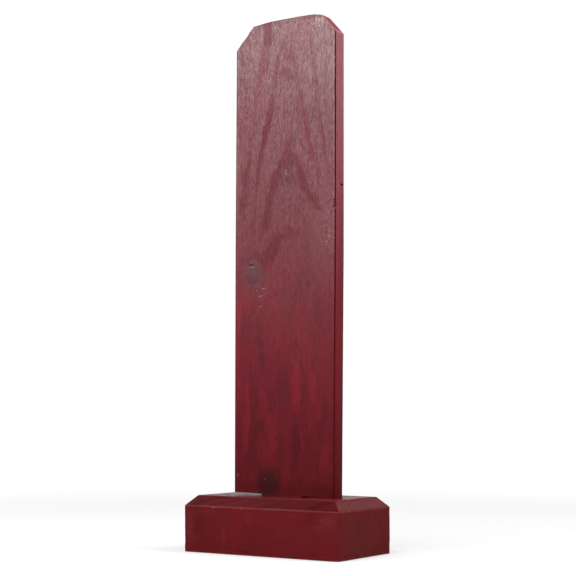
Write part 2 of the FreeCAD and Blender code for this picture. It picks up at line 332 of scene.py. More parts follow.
def shapeBoard(points):
    # takes points of the sharp board to the worn one, and gives how near each is to an arris (1 on it, 0 away from
    # it); every point is held as its depths below the faces round it, and each pair of faces is eased in turn
    spec, seed = board, board["seed"]
    x, y, z = points.T.copy()
    inTenon = z < shoulder(x) - 1e-6
    top, half = boardTop(x), (spec["front"] + spec["back"]) / 2
    depth = {"left": x - spec["left"], "right": spec["right"] - x, "front": y - spec["front"],
             "back": spec["back"] - y, "crown": top - z, "foot": z - shoulder(x)}
    border = np.minimum(np.abs(x - spec["tenonLeft"]), np.abs(x - spec["tenonRight"]))
    onShoulder = (x <= spec["tenonLeft"]) | (x >= spec["tenonRight"])

    arris = np.zeros(len(x))
    for a, b in (("left", "front"), ("right", "front"), ("left", "back"), ("right", "back"),
                 ("crown", "front"), ("crown", "back"), ("crown", "left"), ("crown", "right")):
        far = np.hypot(np.maximum(depth[a], 0), np.maximum(depth[b], 0))
        arris = np.maximum(arris, np.where(inTenon, 0, 1 - np.clip(far / spec["wearReach"], 0, 1)))

    worn = 1 + 0.07 * waves(z, y * 3, seed, 45) + 0.04 * waves(z, y * 3, seed + 1, 9)
    chipAt, chipLong, chipDeep = spec["chip"]
    chip = chipDeep * smoothStep(1.0, 0.6, np.abs(z - chipAt) / chipLong) * (1 + 0.25 * waves(z, x, seed + 2, 5))
    long = np.where(inTenon, 0, spec["arris"] * worn)
    viewed = np.where(inTenon, 0, spec["viewedArris"] * worn + chip)
    viewed = np.where(depth["front"] < 4, viewed, long)
    # the top edge is sharper, and ragged where the saw came out on the corner cuts
    cut = smoothStep(1.0, 3.0, spec["crown"] - top)
    saw = 0.30 * waves(x, z, seed + 3, 2.4) * (depth["front"] < 5)
    ragged = np.clip(0.32 + cut * (0.35 + saw) + 0.08 * waves(x, z, seed + 4, 7), 0.12, 1.1)
    foot = np.where(inTenon, 0, spec["footArris"] * smoothStep(0, 3, border) * onShoulder)
    corner = spec["cornerArris"]
    for a, b, radius, power in (
            ("left", "front", long, 1.2), ("right", "front", viewed, 1.2), ("left", "back", long, 1.2),
            ("right", "back", long, 1.2), ("crown", "front", ragged, 1.3), ("crown", "back", ragged * 0.8, 1.3),
            ("crown", "left", corner, 1.6), ("crown", "right", corner, 1.6), ("foot", "front", foot, 1.5),
            ("foot", "back", foot, 1.5)):
        depth[a], depth[b] = easeArris(depth[a], depth[b], radius, power)

    left, right, crown = depth["left"], depth["right"], depth["crown"]
    x = np.where(np.abs(left - (x - spec["left"])) > 1e-9, spec["left"] + left, x)
    x = np.where(np.abs(right - (spec["right"] - x)) > 1e-9, spec["right"] - right, x)
    y = np.where(y < half, spec["front"] + depth["front"], spec["back"] - depth["back"])
    z = np.where(inTenon, z, np.where(crown < depth["foot"], top - crown, shoulder(x) + depth["foot"]))

    # the tenon's own corners
    depth = {"left": x - spec["tenonLeft"], "right": spec["tenonRight"] - x, "tip": z - spec["tenonFoot"],
             "front": y - spec["front"], "back": spec["back"] - y}
    tip = np.where(inTenon, spec["tenonEase"], 0)
    side = spec["tenonArris"] * smoothStep(0, 3, shoulder(x) - z) * inTenon
    for a, b, radius, power in (
            ("left", "tip", tip, 1.1), ("right", "tip", tip, 1.1), ("left", "front", side, 1.2),
            ("left", "back", side, 1.2), ("right", "front", side, 1.2), ("right", "back", side, 1.2),
            ("tip", "front", side, 1.2), ("tip", "back", side, 1.2)):
        depth[a], depth[b] = easeArris(depth[a], depth[b], radius, power)
    middle = (spec["tenonLeft"] + spec["tenonRight"]) / 2
    tenonX = np.where(x < middle, spec["tenonLeft"] + depth["left"], spec["tenonRight"] - depth["right"])
    tenonY = np.where(y < half, spec["front"] + depth["front"], spec["back"] - depth["back"])
    x, y = np.where(inTenon, tenonX, x), np.where(inTenon, tenonY, y)
    z = np.where(inTenon, spec["tenonFoot"] + depth["tip"], z)

    # the sides taper towards the foot
    down = np.clip((spec["taperTop"] - z) / (spec["taperTop"] - shoulder(x)), 0, 1) * ~inTenon
    beyond = np.clip((x - spec["tenonRight"]) / (spec["right"] - spec["tenonRight"]), 0, 1)
    before = np.clip((spec["tenonLeft"] - x) / (spec["tenonLeft"] - spec["left"]), 0, 1)
    x = x + down * (before * (spec["footLeft"] - spec["left"]) - beyond * (spec["right"] - spec["footRight"]))

    # a hand plane's slight waves, only inwards; the knots and the nick
    faceward = np.where(y < half, 1.0, -1.0)
    onFace = np.abs(y - half) > 6.0
    toEdge = np.minimum.reduce([points[:, 0] - spec["left"], spec["right"] - points[:, 0], np.abs(crown)])
    away = smoothStep(0.0, 4.0, toEdge) * smoothStep(50, 70, z)
    planeDeep, planeLong = spec["planeHollow"]
    hollow = planeDeep * np.clip(1 + waves(x, z / 3.5, seed + 5, planeLong), 0, 3) * away
    y = y + np.where(onFace, faceward * hollow, 0)
    for knotX, knotZ, radius in spec["knots"]:
        far = np.hypot(x - knotX, (z - knotZ) * 0.9) / radius
        groove = spec["knotGroove"] * np.exp(-((far - 1.0) / 0.16) ** 2)
        dome = spec["knotDome"] * np.exp(-(far / 0.8) ** 4)
        inwards = np.maximum(groove - dome + spec["knotDome"], 0) * smoothStep(49, 52, z)
        y = y + np.where(onFace & ~inTenon, faceward * inwards, 0)
    nickAt, nickHigh, nickDeep = spec["nick"]
    nick = nickDeep * np.exp(-((z - nickAt) / nickHigh) ** 4) * smoothStep(-3.2, -1.6, y) * smoothStep(4.6, 3.4, y)
    x = np.where(points[:, 0] > spec["right"] - 1.2, x - nick, x)
    return np.stack([x, y, z], -1), arris


def makeBoard():
    # six kinds of flat patch of the sharp board, each a function of two parameters, sewn by their shared borders
    spec = board
    low, high = spec["levels"]
    nearCorner = np.array([0, 0.3, 0.8, 1.5])
    across = np.unique(np.round(np.concatenate([
        edgeSpread(spec["left"], spec["right"], spec["spacing"]), [x for x, _ in spec["top"]],
        spec["tenonLeft"] + nearCorner, spec["tenonRight"] - nearCorner]), 6))
    footRows = [np.linspace(0, 1, 10), [0.015, 0.03, 0.05]]
    middleRows = [1 + np.linspace(0, 1, int((high - low) / spec["spacing"]))]
    middleRows += [1 + (np.arange(*run) - low) / (high - low) for run in spec["fineRows"]]
    topRows = [2 + np.linspace(0, 1, 34)[:-1], 3 - np.array([1.1, 0.85, 0.65, 0.5, 0.35, 0.2, 0.1, 0]) / 45]
    rows = np.unique(np.round(np.concatenate(footRows + middleRows + topRows), 6))
    through = edgeSpread(spec["front"], spec["back"], 1.1)
    isTenon = (across >= spec["tenonLeft"] - 1e-6) & (across <= spec["tenonRight"] + 1e-6)
    tenonAcross = across[isTenon]
    level = np.concatenate([[0, 0.15, 0.3, 0.6, 1.0, 1.5], np.linspace(2.5, 44.5, 22)]) / 44.5
    blocks, quads, count = [], [], 0

    def patch(x, y, z, flip):
        nonlocal count
        x, y, z = np.broadcast_arrays(x, y, z)
        blocks.append(np.stack([x, y, z], -1).reshape(-1, 3))
        quads.append(gridQuads(*x.shape, start=count, flip=flip))
        count += x.size

    def tenonHeight(x, level):
        # level 0 is the tenon's tip and 1 its root on the shoulder line
        return spec["tenonFoot"] + (shoulder(x) - spec["tenonFoot"]) * level

    for columns, steps, height in ((across, rows, boardHeight), (tenonAcross, level, tenonHeight)):
        faceX, faceStep = np.meshgrid(columns, steps)
        patch(faceX, spec["front"], height(faceX, faceStep), False)
        patch(faceX, spec["back"], height(faceX, faceStep), True)
    for steps, height, ends in ((rows, boardHeight, ("left", "right")),
                                (level, tenonHeight, ("tenonLeft", "tenonRight"))):
        sideY, sideStep = np.meshgrid(through, steps)
        for end, flip in zip(ends, (True, False)):
            patch(spec[end], sideY, height(np.full_like(sideY, spec[end]), sideStep), flip)
    topX, topY = np.meshgrid(across, through)
    patch(topX, topY, boardTop(topX), False)
    for keep in (across <= spec["tenonLeft"] + 1e-6, across >= spec["tenonRight"] - 1e-6):
        footX, footY = np.meshgrid(across[keep], through)
        patch(footX, footY, shoulder(footX), True)
    tipX, tipY = np.meshgrid(tenonAcross, through)
    patch(tipX, tipY, spec["tenonFoot"], True)
    points, arris = shapeBoard(np.concatenate(blocks))
    bands, stains = faceGrain(points)
    attributes = {"arris": arris, "band": bands, "stain": stains}
    item = newPiece("boardOfTablet", points, np.concatenate(quads), attributes)
    item.data.set_sharp_from_angle(angle=math.radians(spec["sharpAngle"]))
    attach(item, "tablet")
    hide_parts("tablet_board")
    return item


# the base block
base = {
    "halfWidth": 75.0, "halfDepth": 41.5, "sideHeight": 38.2, "height": 46.5, "inset": 8.0,
    "mortise": (0.4, -2.1, 20.15, 7.2),        # centre x and y, half width and half depth
    "corner": 0.9,                             # how far the upright corners are rounded
    "lean": 0.6,                               # the left end is cut this far out of square at its foot
    # the worn edges of the profile, in its order, and the number of steps along the run after each
    "easings": [0.6, 0.55, 0.6, 0.5, 0.5], "steps": [22, 9, 22, 26, 24],
    "topReach": 30.0,                          # length that the top's run counts as, from the bevel to the mortise
    "wearReach": 1.6,
    "sideHollow": (0.10, 46), "topHollow": (0.08, 40), "rub": (0.07, 30),       # depth and wave length
    # chips: place, reach and depth
    "chips": [(-45.0, -41.5, 37.9, 1.6, 0.7), (-17.0, -41.3, 38.3, 1.3, 0.6), (60.3, -41.5, 30.6, 1.1, 0.35),
              (75.0, 30.3, 33.3, 1.0, 0.35), (74.0, -22.0, 38.8, 1.5, 0.5), (-74.5, 12.0, 38.0, 2.2, 0.7),
              (20.0, 41.5, 38.2, 1.8, 0.6), (-52.0, 41.5, 1.0, 2.4, 0.7), (75.0, -41.5, 1.0, 2.0, 0.7)],
    "sharpAngle": 50,                          # degrees
    "seed": 23,
}


def roundPath(corners, radii, pieces=6):
    # a closed path with each corner replaced by a parabola that touches both its runs
    corners = np.asarray(corners, float)
    before, after = np.roll(corners, 1, 0), np.roll(corners, -1, 0)
    arcs = []
    for here, back, ahead, radius in zip(corners, before, after, radii):
        start = here + (back - here) / np.linalg.norm(back - here) * radius
        end = here + (ahead - here) / np.linalg.norm(ahead - here) * radius
        t = np.linspace(0, 1, pieces + 1)[:, None]
        arcs.append((1 - t) ** 2 * start + 2 * t * (1 - t) * here + t ** 2 * end)
    return arcs


def baseProfile():
    # up the side, over the bevel, across the top, down the mortise and back below, with each corner rounded:
    # inset from the block's outline, way in to the mortise, and height; the bend is 1 on a corner and fades away
    spec = base
    inset, reach, high = spec["inset"], spec["topReach"], spec["height"]
    corners = [(0, 0, 0), (0, 0, spec["sideHeight"]), (inset, 0, high), (inset, reach, high), (inset, reach, 0)]
    arcs = roundPath(corners, spec["easings"])
    profile, bend = [], []
    for index, arc in enumerate(arcs):
        ahead = arcs[(index + 1) % len(arcs)][0]
        t = np.linspace(0, 1, spec["steps"][index] + 1)[1:-1, None]
        profile += [arc, arc[-1] * (1 - t) + ahead * t]
        toCorner = np.minimum(t, 1 - t)[:, 0] * np.linalg.norm(ahead - arc[-1])
        bend += [np.ones(len(arc)), np.clip(1 - toCorner / 1.5, 0, 1)]
    return np.concatenate(profile), np.concatenate(bend)


def sideSteps(half, count):
    # -1 to 1 along a side: closer in the last millimetres before the corners, even between
    edge = np.array([0, 0.12, 0.25, 0.4, 0.55, 0.7, 0.9, 1.2]) / half
    inner = 2.6 / half
    return np.concatenate([-1 + edge, np.linspace(-1 + inner, 1 - inner, count), (1 - edge)[::-1]])


def makeBase():
    # the profile is carried round a rectangle, which shrinks from the block's outline to the mortise's as the
    # profile runs inwards
    spec, seed = base, base["seed"]
    profile, bend = baseProfile()
    inset, inwards, z = profile.T
    share = inwards / spec["topReach"]
    alongX, alongY = sideSteps(spec["halfWidth"], 66), sideSteps(spec["halfDepth"], 38)
    onesX, onesY = np.ones(len(alongX) - 1), np.ones(len(alongY) - 1)
    ringX = np.concatenate([alongX[:-1], onesY, alongX[:0:-1], -onesY])
    ringY = np.concatenate([-onesX, alongY[:-1], onesX, alongY[:0:-1]])
    centreX, centreY, holeX, holeY = spec["mortise"]
    halfX = ((spec["halfWidth"] - inset) * (1 - share) + holeX * share)[:, None]
    halfY = ((spec["halfDepth"] - inset) * (1 - share) + holeY * share)[:, None]
    share, bend = share[:, None], bend[:, None]
    x, y = halfX * ringX, halfY * ringY
    a, b = halfX - np.abs(x), halfY - np.abs(y)
    z = np.broadcast_to(z[:, None], x.shape).copy()
    worn = spec["corner"] * (1 + 0.2 * waves(z, x * 0.2 + y * 0.3, seed, 11)) * (1 - share) ** 6
    corner = 1 - np.clip(np.hypot(a, b) / spec["wearReach"], 0, 1)
    a, b = easeArris(a, b, worn, 1.6)
    x = np.sign(x) * (halfX - a) + centreX * share
    y = np.sign(y) * (halfY - b) + centreY * share
    outer = share < 0.02
    arris = np.maximum(np.where(outer, corner * 0.6, 0), bend * (share < 0.3))

    # slight hollows in the sides and the top, only inwards
    deep, length = spec["sideHollow"]
    away = np.clip(1 - arris * 1.2, 0, 1) * outer
    hollow = deep * np.clip(1 + waves(x + y, z * 2, seed + 1, length), 0, 3) * away
    onEnds = np.abs(ringX)[None, :] >= 1
    x = x - np.sign(x) * np.where(onEnds, hollow, 0)
    y = y - np.sign(y) * np.where(~onEnds, hollow, 0)
    deep, length = spec["topHollow"]
    hollow = deep * np.clip(1 + waves(x, y, seed + 2, length), 0, 3) * smoothStep(0.05, 0.2, share)
    z = np.where(z > spec["height"] - 0.01, z - hollow * smoothStep(0.97, 0.9, share), z)

    # rubbed places on the bevel's lower line and on the corners, and chips; both move points towards the middle
    deep, length = spec["rub"]
    rub = deep * np.clip(waves(x + 2 * y, np.zeros_like(z), seed + 3, length), 0, 2) * np.where(outer, bend, 0)
    points = np.stack([x, y, z], -1)
    middle = np.stack([np.clip(x, -60, 60), np.clip(y, -30, 30), np.full_like(z, 22.0)], -1)
    inwardsWay = middle - points
    inwardsWay /= np.maximum(np.linalg.norm(inwardsWay, axis=-1, keepdims=True), 1e-6)
    points = points + inwardsWay * (rub * (z > 20))[..., None]
    ragged = 1 + 0.3 * waves(x + z, y + z, seed + 4, 1.7)
    for chipX, chipY, chipZ, size, deep in spec["chips"]:
        far = np.linalg.norm(points - np.array([chipX, chipY, chipZ]), axis=-1)
        points = points + inwardsWay * (deep * np.exp(-(far / (size * ragged)) ** 2) * outer)[..., None]

    # the left end leans in towards its foot
    leftEnd = smoothStep(-55, -75, points[..., 0]) * np.clip(1 - points[..., 2] / spec["sideHeight"], 0, 1)
    points[..., 0] += spec["lean"] * leftEnd * outer
    quads = gridQuads(*x.shape, loopRows=True, loopColumns=True)
    arris = np.broadcast_to(arris, x.shape)
    item = newPiece("baseBlock", points.reshape(-1, 3), quads, {"arris": arris.reshape(-1)})
    item.data.set_sharp_from_angle(angle=math.radians(spec["sharpAngle"]))
    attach(item, "base")
    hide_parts("base_block")
    return item


tabletBoard = makeBoard()
print("board made:", len(tabletBoard.data.polygons), "faces")
baseBlock = makeBase()
print("base made:", len(baseBlock.data.polygons), "faces")


class Value:
    # a socket that can be added, subtracted, multiplied, divided and raised: each sign is one Math node
    def __init__(self, nodes, socket):
        self.nodes, self.socket = nodes, socket

    def __add__(self, other):
        return self.nodes.math("ADD", self, other)

    def __radd__(self, other):
        return self.nodes.math("ADD", other, self)

    def __sub__(self, other):
        return self.nodes.math("SUBTRACT", self, other)

    def __rsub__(self, other):
        return self.nodes.math("SUBTRACT", other, self)

    def __mul__(self, other):
        return self.nodes.math("MULTIPLY", self, other)

    def __truediv__(self, other):
        return self.nodes.math("DIVIDE", self, other)

    def __pow__(self, other):
        return self.nodes.math("POWER", self, other)


class Nodes:
    # a thin hand on a node tree: each call adds one node, or two, and gives the value that it puts out
    def __init__(self, tree):
        self.tree = tree

    def add(self, kind, **settings):
        node = self.tree.nodes.new(kind)
        for key, value in settings.items():
            setattr(node, key, value)
        return node

    def put(self, socket, value):
        value = getattr(value, "socket", value)
        if isinstance(value, bpy.types.NodeSocket):
            self.tree.links.new(value, socket)
        elif value is not None:
            socket.default_value = value

    def math(self, operation, a, b=None, clamp=False):
        node = self.add("ShaderNodeMath", operation=operation, use_clamp=clamp)
        for socket, value in zip(node.inputs, (a, b)):
            self.put(socket, value)
        return Value(self, node.outputs[0])

    def mix(self, factor, a, b):
        node = self.add("ShaderNodeMix", data_type="FLOAT")
        for index, value in ((0, factor), (2, a), (3, b)):
            self.put(node.inputs[index], value)
        return Value(self, node.outputs[0])

    def blend(self, factor, a, b, way="MIX"):
        node = self.add("ShaderNodeMix", data_type="RGBA", blend_type=way)
        for index, value in ((0, factor), (6, a), (7, b)):
            self.put(node.inputs[index], value)
        return Value(self, node.outputs[2])

    def ramp(self, value, low, high, out0=0.0, out1=1.0):
        # out0 at low, out1 at high, with a smooth step between; low may lie above high
        node = self.add("ShaderNodeMapRange", interpolation_type="SMOOTHSTEP")
        for index, item in enumerate((value, low, high, out0, out1)):
            self.put(node.inputs[index], item)
        return Value(self, node.outputs[0])

    def split(self, vector):
        node = self.add("ShaderNodeSeparateXYZ")
        self.put(node.inputs[0], vector)
        return [Value(self, socket) for socket in node.outputs]

    def join(self, x, y, z):
        node = self.add("ShaderNodeCombineXYZ")
        for socket, value in zip(node.inputs, (x, y, z)):
            self.put(socket, value)
        return Value(self, node.outputs[0])

    def noise(self, vector, stretch=None, detail=2.0, roughness=0.5, shift=(0, 0, 0)):
        # 0 to 1, about 0.5; the stretch is in turns per millimetre along X, Y and Z
        if stretch:
            mapping = self.add("ShaderNodeMapping", vector_type="POINT")
            self.put(mapping.inputs["Vector"], vector)
            mapping.inputs["Scale"].default_value = stretch
            mapping.inputs["Location"].default_value = shift
            vector = mapping.outputs[0]
        node = self.add("ShaderNodeTexNoise")
        for key, value in (("Vector", vector), ("Scale", 1.0), ("Detail", detail), ("Roughness", roughness),
                           ("Distortion", 0.0)):
            self.put(node.inputs[key], value)
        return Value(self, node.outputs["Fac"])

    def attribute(self, name):
        return Value(self, self.add("ShaderNodeAttribute", attribute_name=name).outputs["Fac"])

    def use(self, group, **values):
        node = self.add("ShaderNodeGroup", node_tree=group)
        for key, value in values.items():
            self.put(node.inputs[key], value)
        results = [Value(self, socket) for socket in node.outputs]
        return results[0] if len(results) == 1 else results

    def oval(self, group, point, across, up, halfWidth, halfHeight):
        # a patch or a speck at its place
        sizes = {"Half Width": halfWidth, "Half Height": halfHeight}
        return self.use(group, Point=point, Across=across, Up=up, **sizes)


def newGroup(name, inputs, outputs):
    # inputs and outputs: (name, kind) or (name, kind, value)
    tree = bpy.data.node_groups.new(name, "ShaderNodeTree")
    for way, entries in (("INPUT", inputs), ("OUTPUT", outputs)):
        for key, kind, *value in entries:
            socket = tree.interface.new_socket(name=key, in_out=way, socket_type="NodeSocket" + kind)
            if value:
                socket.default_value = value[0]
    nodes = Nodes(tree)
    given = {socket.name: Value(nodes, socket) for socket in nodes.add("NodeGroupInput").outputs}
    return tree, nodes, given, nodes.add("NodeGroupOutput").inputs


def makeFibre():
    # fine fibres: two noises drawn out along Z, the second shorter and finer, added 2 to 1
    tree, n, given, result = newGroup("fibre", [
        ("Point", "Vector"), ("Width", "Float", 0.9), ("Length", "Float", 16.0)], [("Fibre", "Float")])
    x, y, z = n.split(given["Point"])
    across, deep, along = x / given["Width"], y / given["Width"], z / given["Length"]
    long = n.noise(n.join(across, deep, along), detail=2.0, roughness=0.55)
    short = n.noise(n.join(across * 1.9, deep * 1.9, along * 4.5), detail=1.0, roughness=0.5)
    n.put(result["Fibre"], long * 0.67 + short * 0.33)
    return tree


def squaredOval(n, given):
    # the squared distance from the middle, measured across and up in half sizes
    x, _, z = n.split(given["Point"])
    dx = (x - given["Across"]) / given["Half Width"]
    dz = (z - given["Up"]) / given["Half Height"]
    return dx * dx + dz * dz


def makePatch():
    # a soft oval: exp(-d^2), d measured across and up in half sizes, with its edge stirred by noise
    tree, n, given, result = newGroup("patch", [
        ("Point", "Vector"), ("Across", "Float"), ("Up", "Float"), ("Half Width", "Float", 5.0),
        ("Half Height", "Float", 20.0), ("Stir", "Float", 0.35)], [("Mask", "Float")])
    stirred = n.noise(given["Point"], (0.22, 0.1, 0.05)) - 0.5
    far = squaredOval(n, given) + stirred * (given["Stir"] * 4.0)
    n.put(result["Mask"], n.math("EXPONENT", far * -1.0, clamp=True))
    return tree


def makeSpeck():
    # a small oval: 1 in its middle, and down by a smooth step of the squared distance in half sizes
    tree, n, given, result = newGroup("speck", [
        ("Point", "Vector"), ("Across", "Float"), ("Up", "Float"), ("Half Width", "Float", 1.0),
        ("Half Height", "Float", 1.0)], [("Mask", "Float")])
    n.put(result["Mask"], n.ramp(squaredOval(n, given), 1.9, 0.1))
    return tree


def makeKnot():
    # distance from the knot's middle over its radius, stirred by noise: a core mask, rings round it that fade
    # outwards as a sine of the distance, and a halo just outside the core
    tree, n, given, result = newGroup("knot", [
        ("Point", "Vector"), ("Across", "Float"), ("Up", "Float"), ("Radius", "Float", 10.0),
        ("Squat", "Float", 0.92)], [("Core", "Float"), ("Ripple", "Float"), ("Halo", "Float")])
    x, _, z = n.split(given["Point"])
    dx, dz = x - given["Across"], (z - given["Up"]) * given["Squat"]
    stirred = n.noise(given["Point"], (0.16, 0.05, 0.13), 3.0) - 0.5
    far = n.math("SQRT", dx * dx + dz * dz) / given["Radius"] + stirred * 0.6
    fade = n.ramp(far, 1.75, 1.0) * n.ramp(far, 0.1, 0.5)
    n.put(result["Core"], n.ramp(far, 1.25, 0.6))
    n.put(result["Ripple"], n.math("SINE", far * 24.0) * fade)
    n.put(result["Halo"], n.ramp(far, 0.95, 1.1) * n.ramp(far, 1.45, 1.1))
    return tree


def makeEdgeWear():
    # how near the arris is, broken up by noise along it, above a limit that the amount lowers
    tree, n, given, result = newGroup("edgeWear", [
        ("Point", "Vector"), ("Arris", "Float"), ("Amount", "Float", 0.5), ("Size", "Float", 6.0)],
        [("Wear", "Float")])
    scaled = n.add("ShaderNodeVectorMath", operation="DIVIDE")
    n.put(scaled.inputs[0], given["Point"])
    n.put(scaled.inputs[1], n.join(given["Size"], given["Size"], given["Size"]))
    broken = n.noise(scaled.outputs[0], detail=4.0, roughness=0.65)
    level = given["Arris"] * 0.75 + (broken - 0.5)
    limit = 1.0 - given["Amount"]
    n.put(result["Wear"], n.ramp(level, limit, limit + 0.12))
    return tree


def makeFlecks():
    # small bright scratches: peaks of a noise drawn out across or along the grain, only inside a patch
    tree, n, given, result = newGroup("flecks", [
        ("Point", "Vector"), ("Where", "Float"), ("Long X", "Float", 1.0), ("Long Z", "Float", 1.0),
        ("Limit", "Float", 0.66)], [("Fleck", "Float")])
    x, y, z = n.split(given["Point"])
    spread = n.noise(n.join(x / given["Long X"], y, z / given["Long Z"]), detail=1.0)
    n.put(result["Fleck"], n.ramp(spread, given["Limit"], given["Limit"] + 0.05) * given["Where"])
    return tree


fibreGroup, patchGroup, knotGroup = makeFibre(), makePatch(), makeKnot()
wearGroup, fleckGroup, speckGroup = makeEdgeWear(), makeFlecks(), makeSpeck()


def emptyTree(owner):
    # the owner's node tree with nothing in it yet
    owner.use_nodes = True
    owner.node_tree.nodes.clear()
    return Nodes(owner.node_tree)


def newFinish(name):
    # a Principled material, with the point on the piece in millimetres and how near it is to an arris
    material = bpy.data.materials.new(name)
    n = emptyTree(material)
    shader = n.add("ShaderNodeBsdfPrincipled")
    n.put(n.add("ShaderNodeOutputMaterial").inputs[0], shader.outputs[0])
    point = n.add("ShaderNodeVectorMath", operation="SCALE")
    n.put(point.inputs[0], n.add("ShaderNodeTexCoord").outputs["Object"])
    point.inputs["Scale"].default_value = 1 / mm
    return material, n, shader, Value(n, point.outputs[0]), n.attribute("arris")


def fillShader(n, shader, spec, colour, coat, roughness, relief):
    # the stain is the diffuse colour, the varnish is the coat, and the relief is a bump
    n.put(shader.inputs["Base Color"], colour)
    n.put(shader.inputs["Coat Weight"], coat)
    n.put(shader.inputs["Roughness"], roughness)
    shader.inputs["Specular IOR Level"].default_value = 0.0
    shader.inputs["Coat Roughness"].default_value = spec["coatRoughness"]
    shader.inputs["Coat IOR"].default_value = spec["coatIor"]
    bump = n.add("ShaderNodeBump")
    bump.inputs["Strength"].default_value = spec["bumpStrength"]
    bump.inputs["Distance"].default_value = spec["bumpHeight"] * mm
    n.put(bump.inputs["Height"], relief)
    n.put(shader.inputs["Normal"], bump.outputs[0])


def shaded(n, colour, shade, power):
    # red is multiplied by the shade, and green and blue by a power of it, so that dark places stay warm
    return n.blend(1.0, colour, n.join(shade, shade ** power, shade ** power), "MULTIPLY")


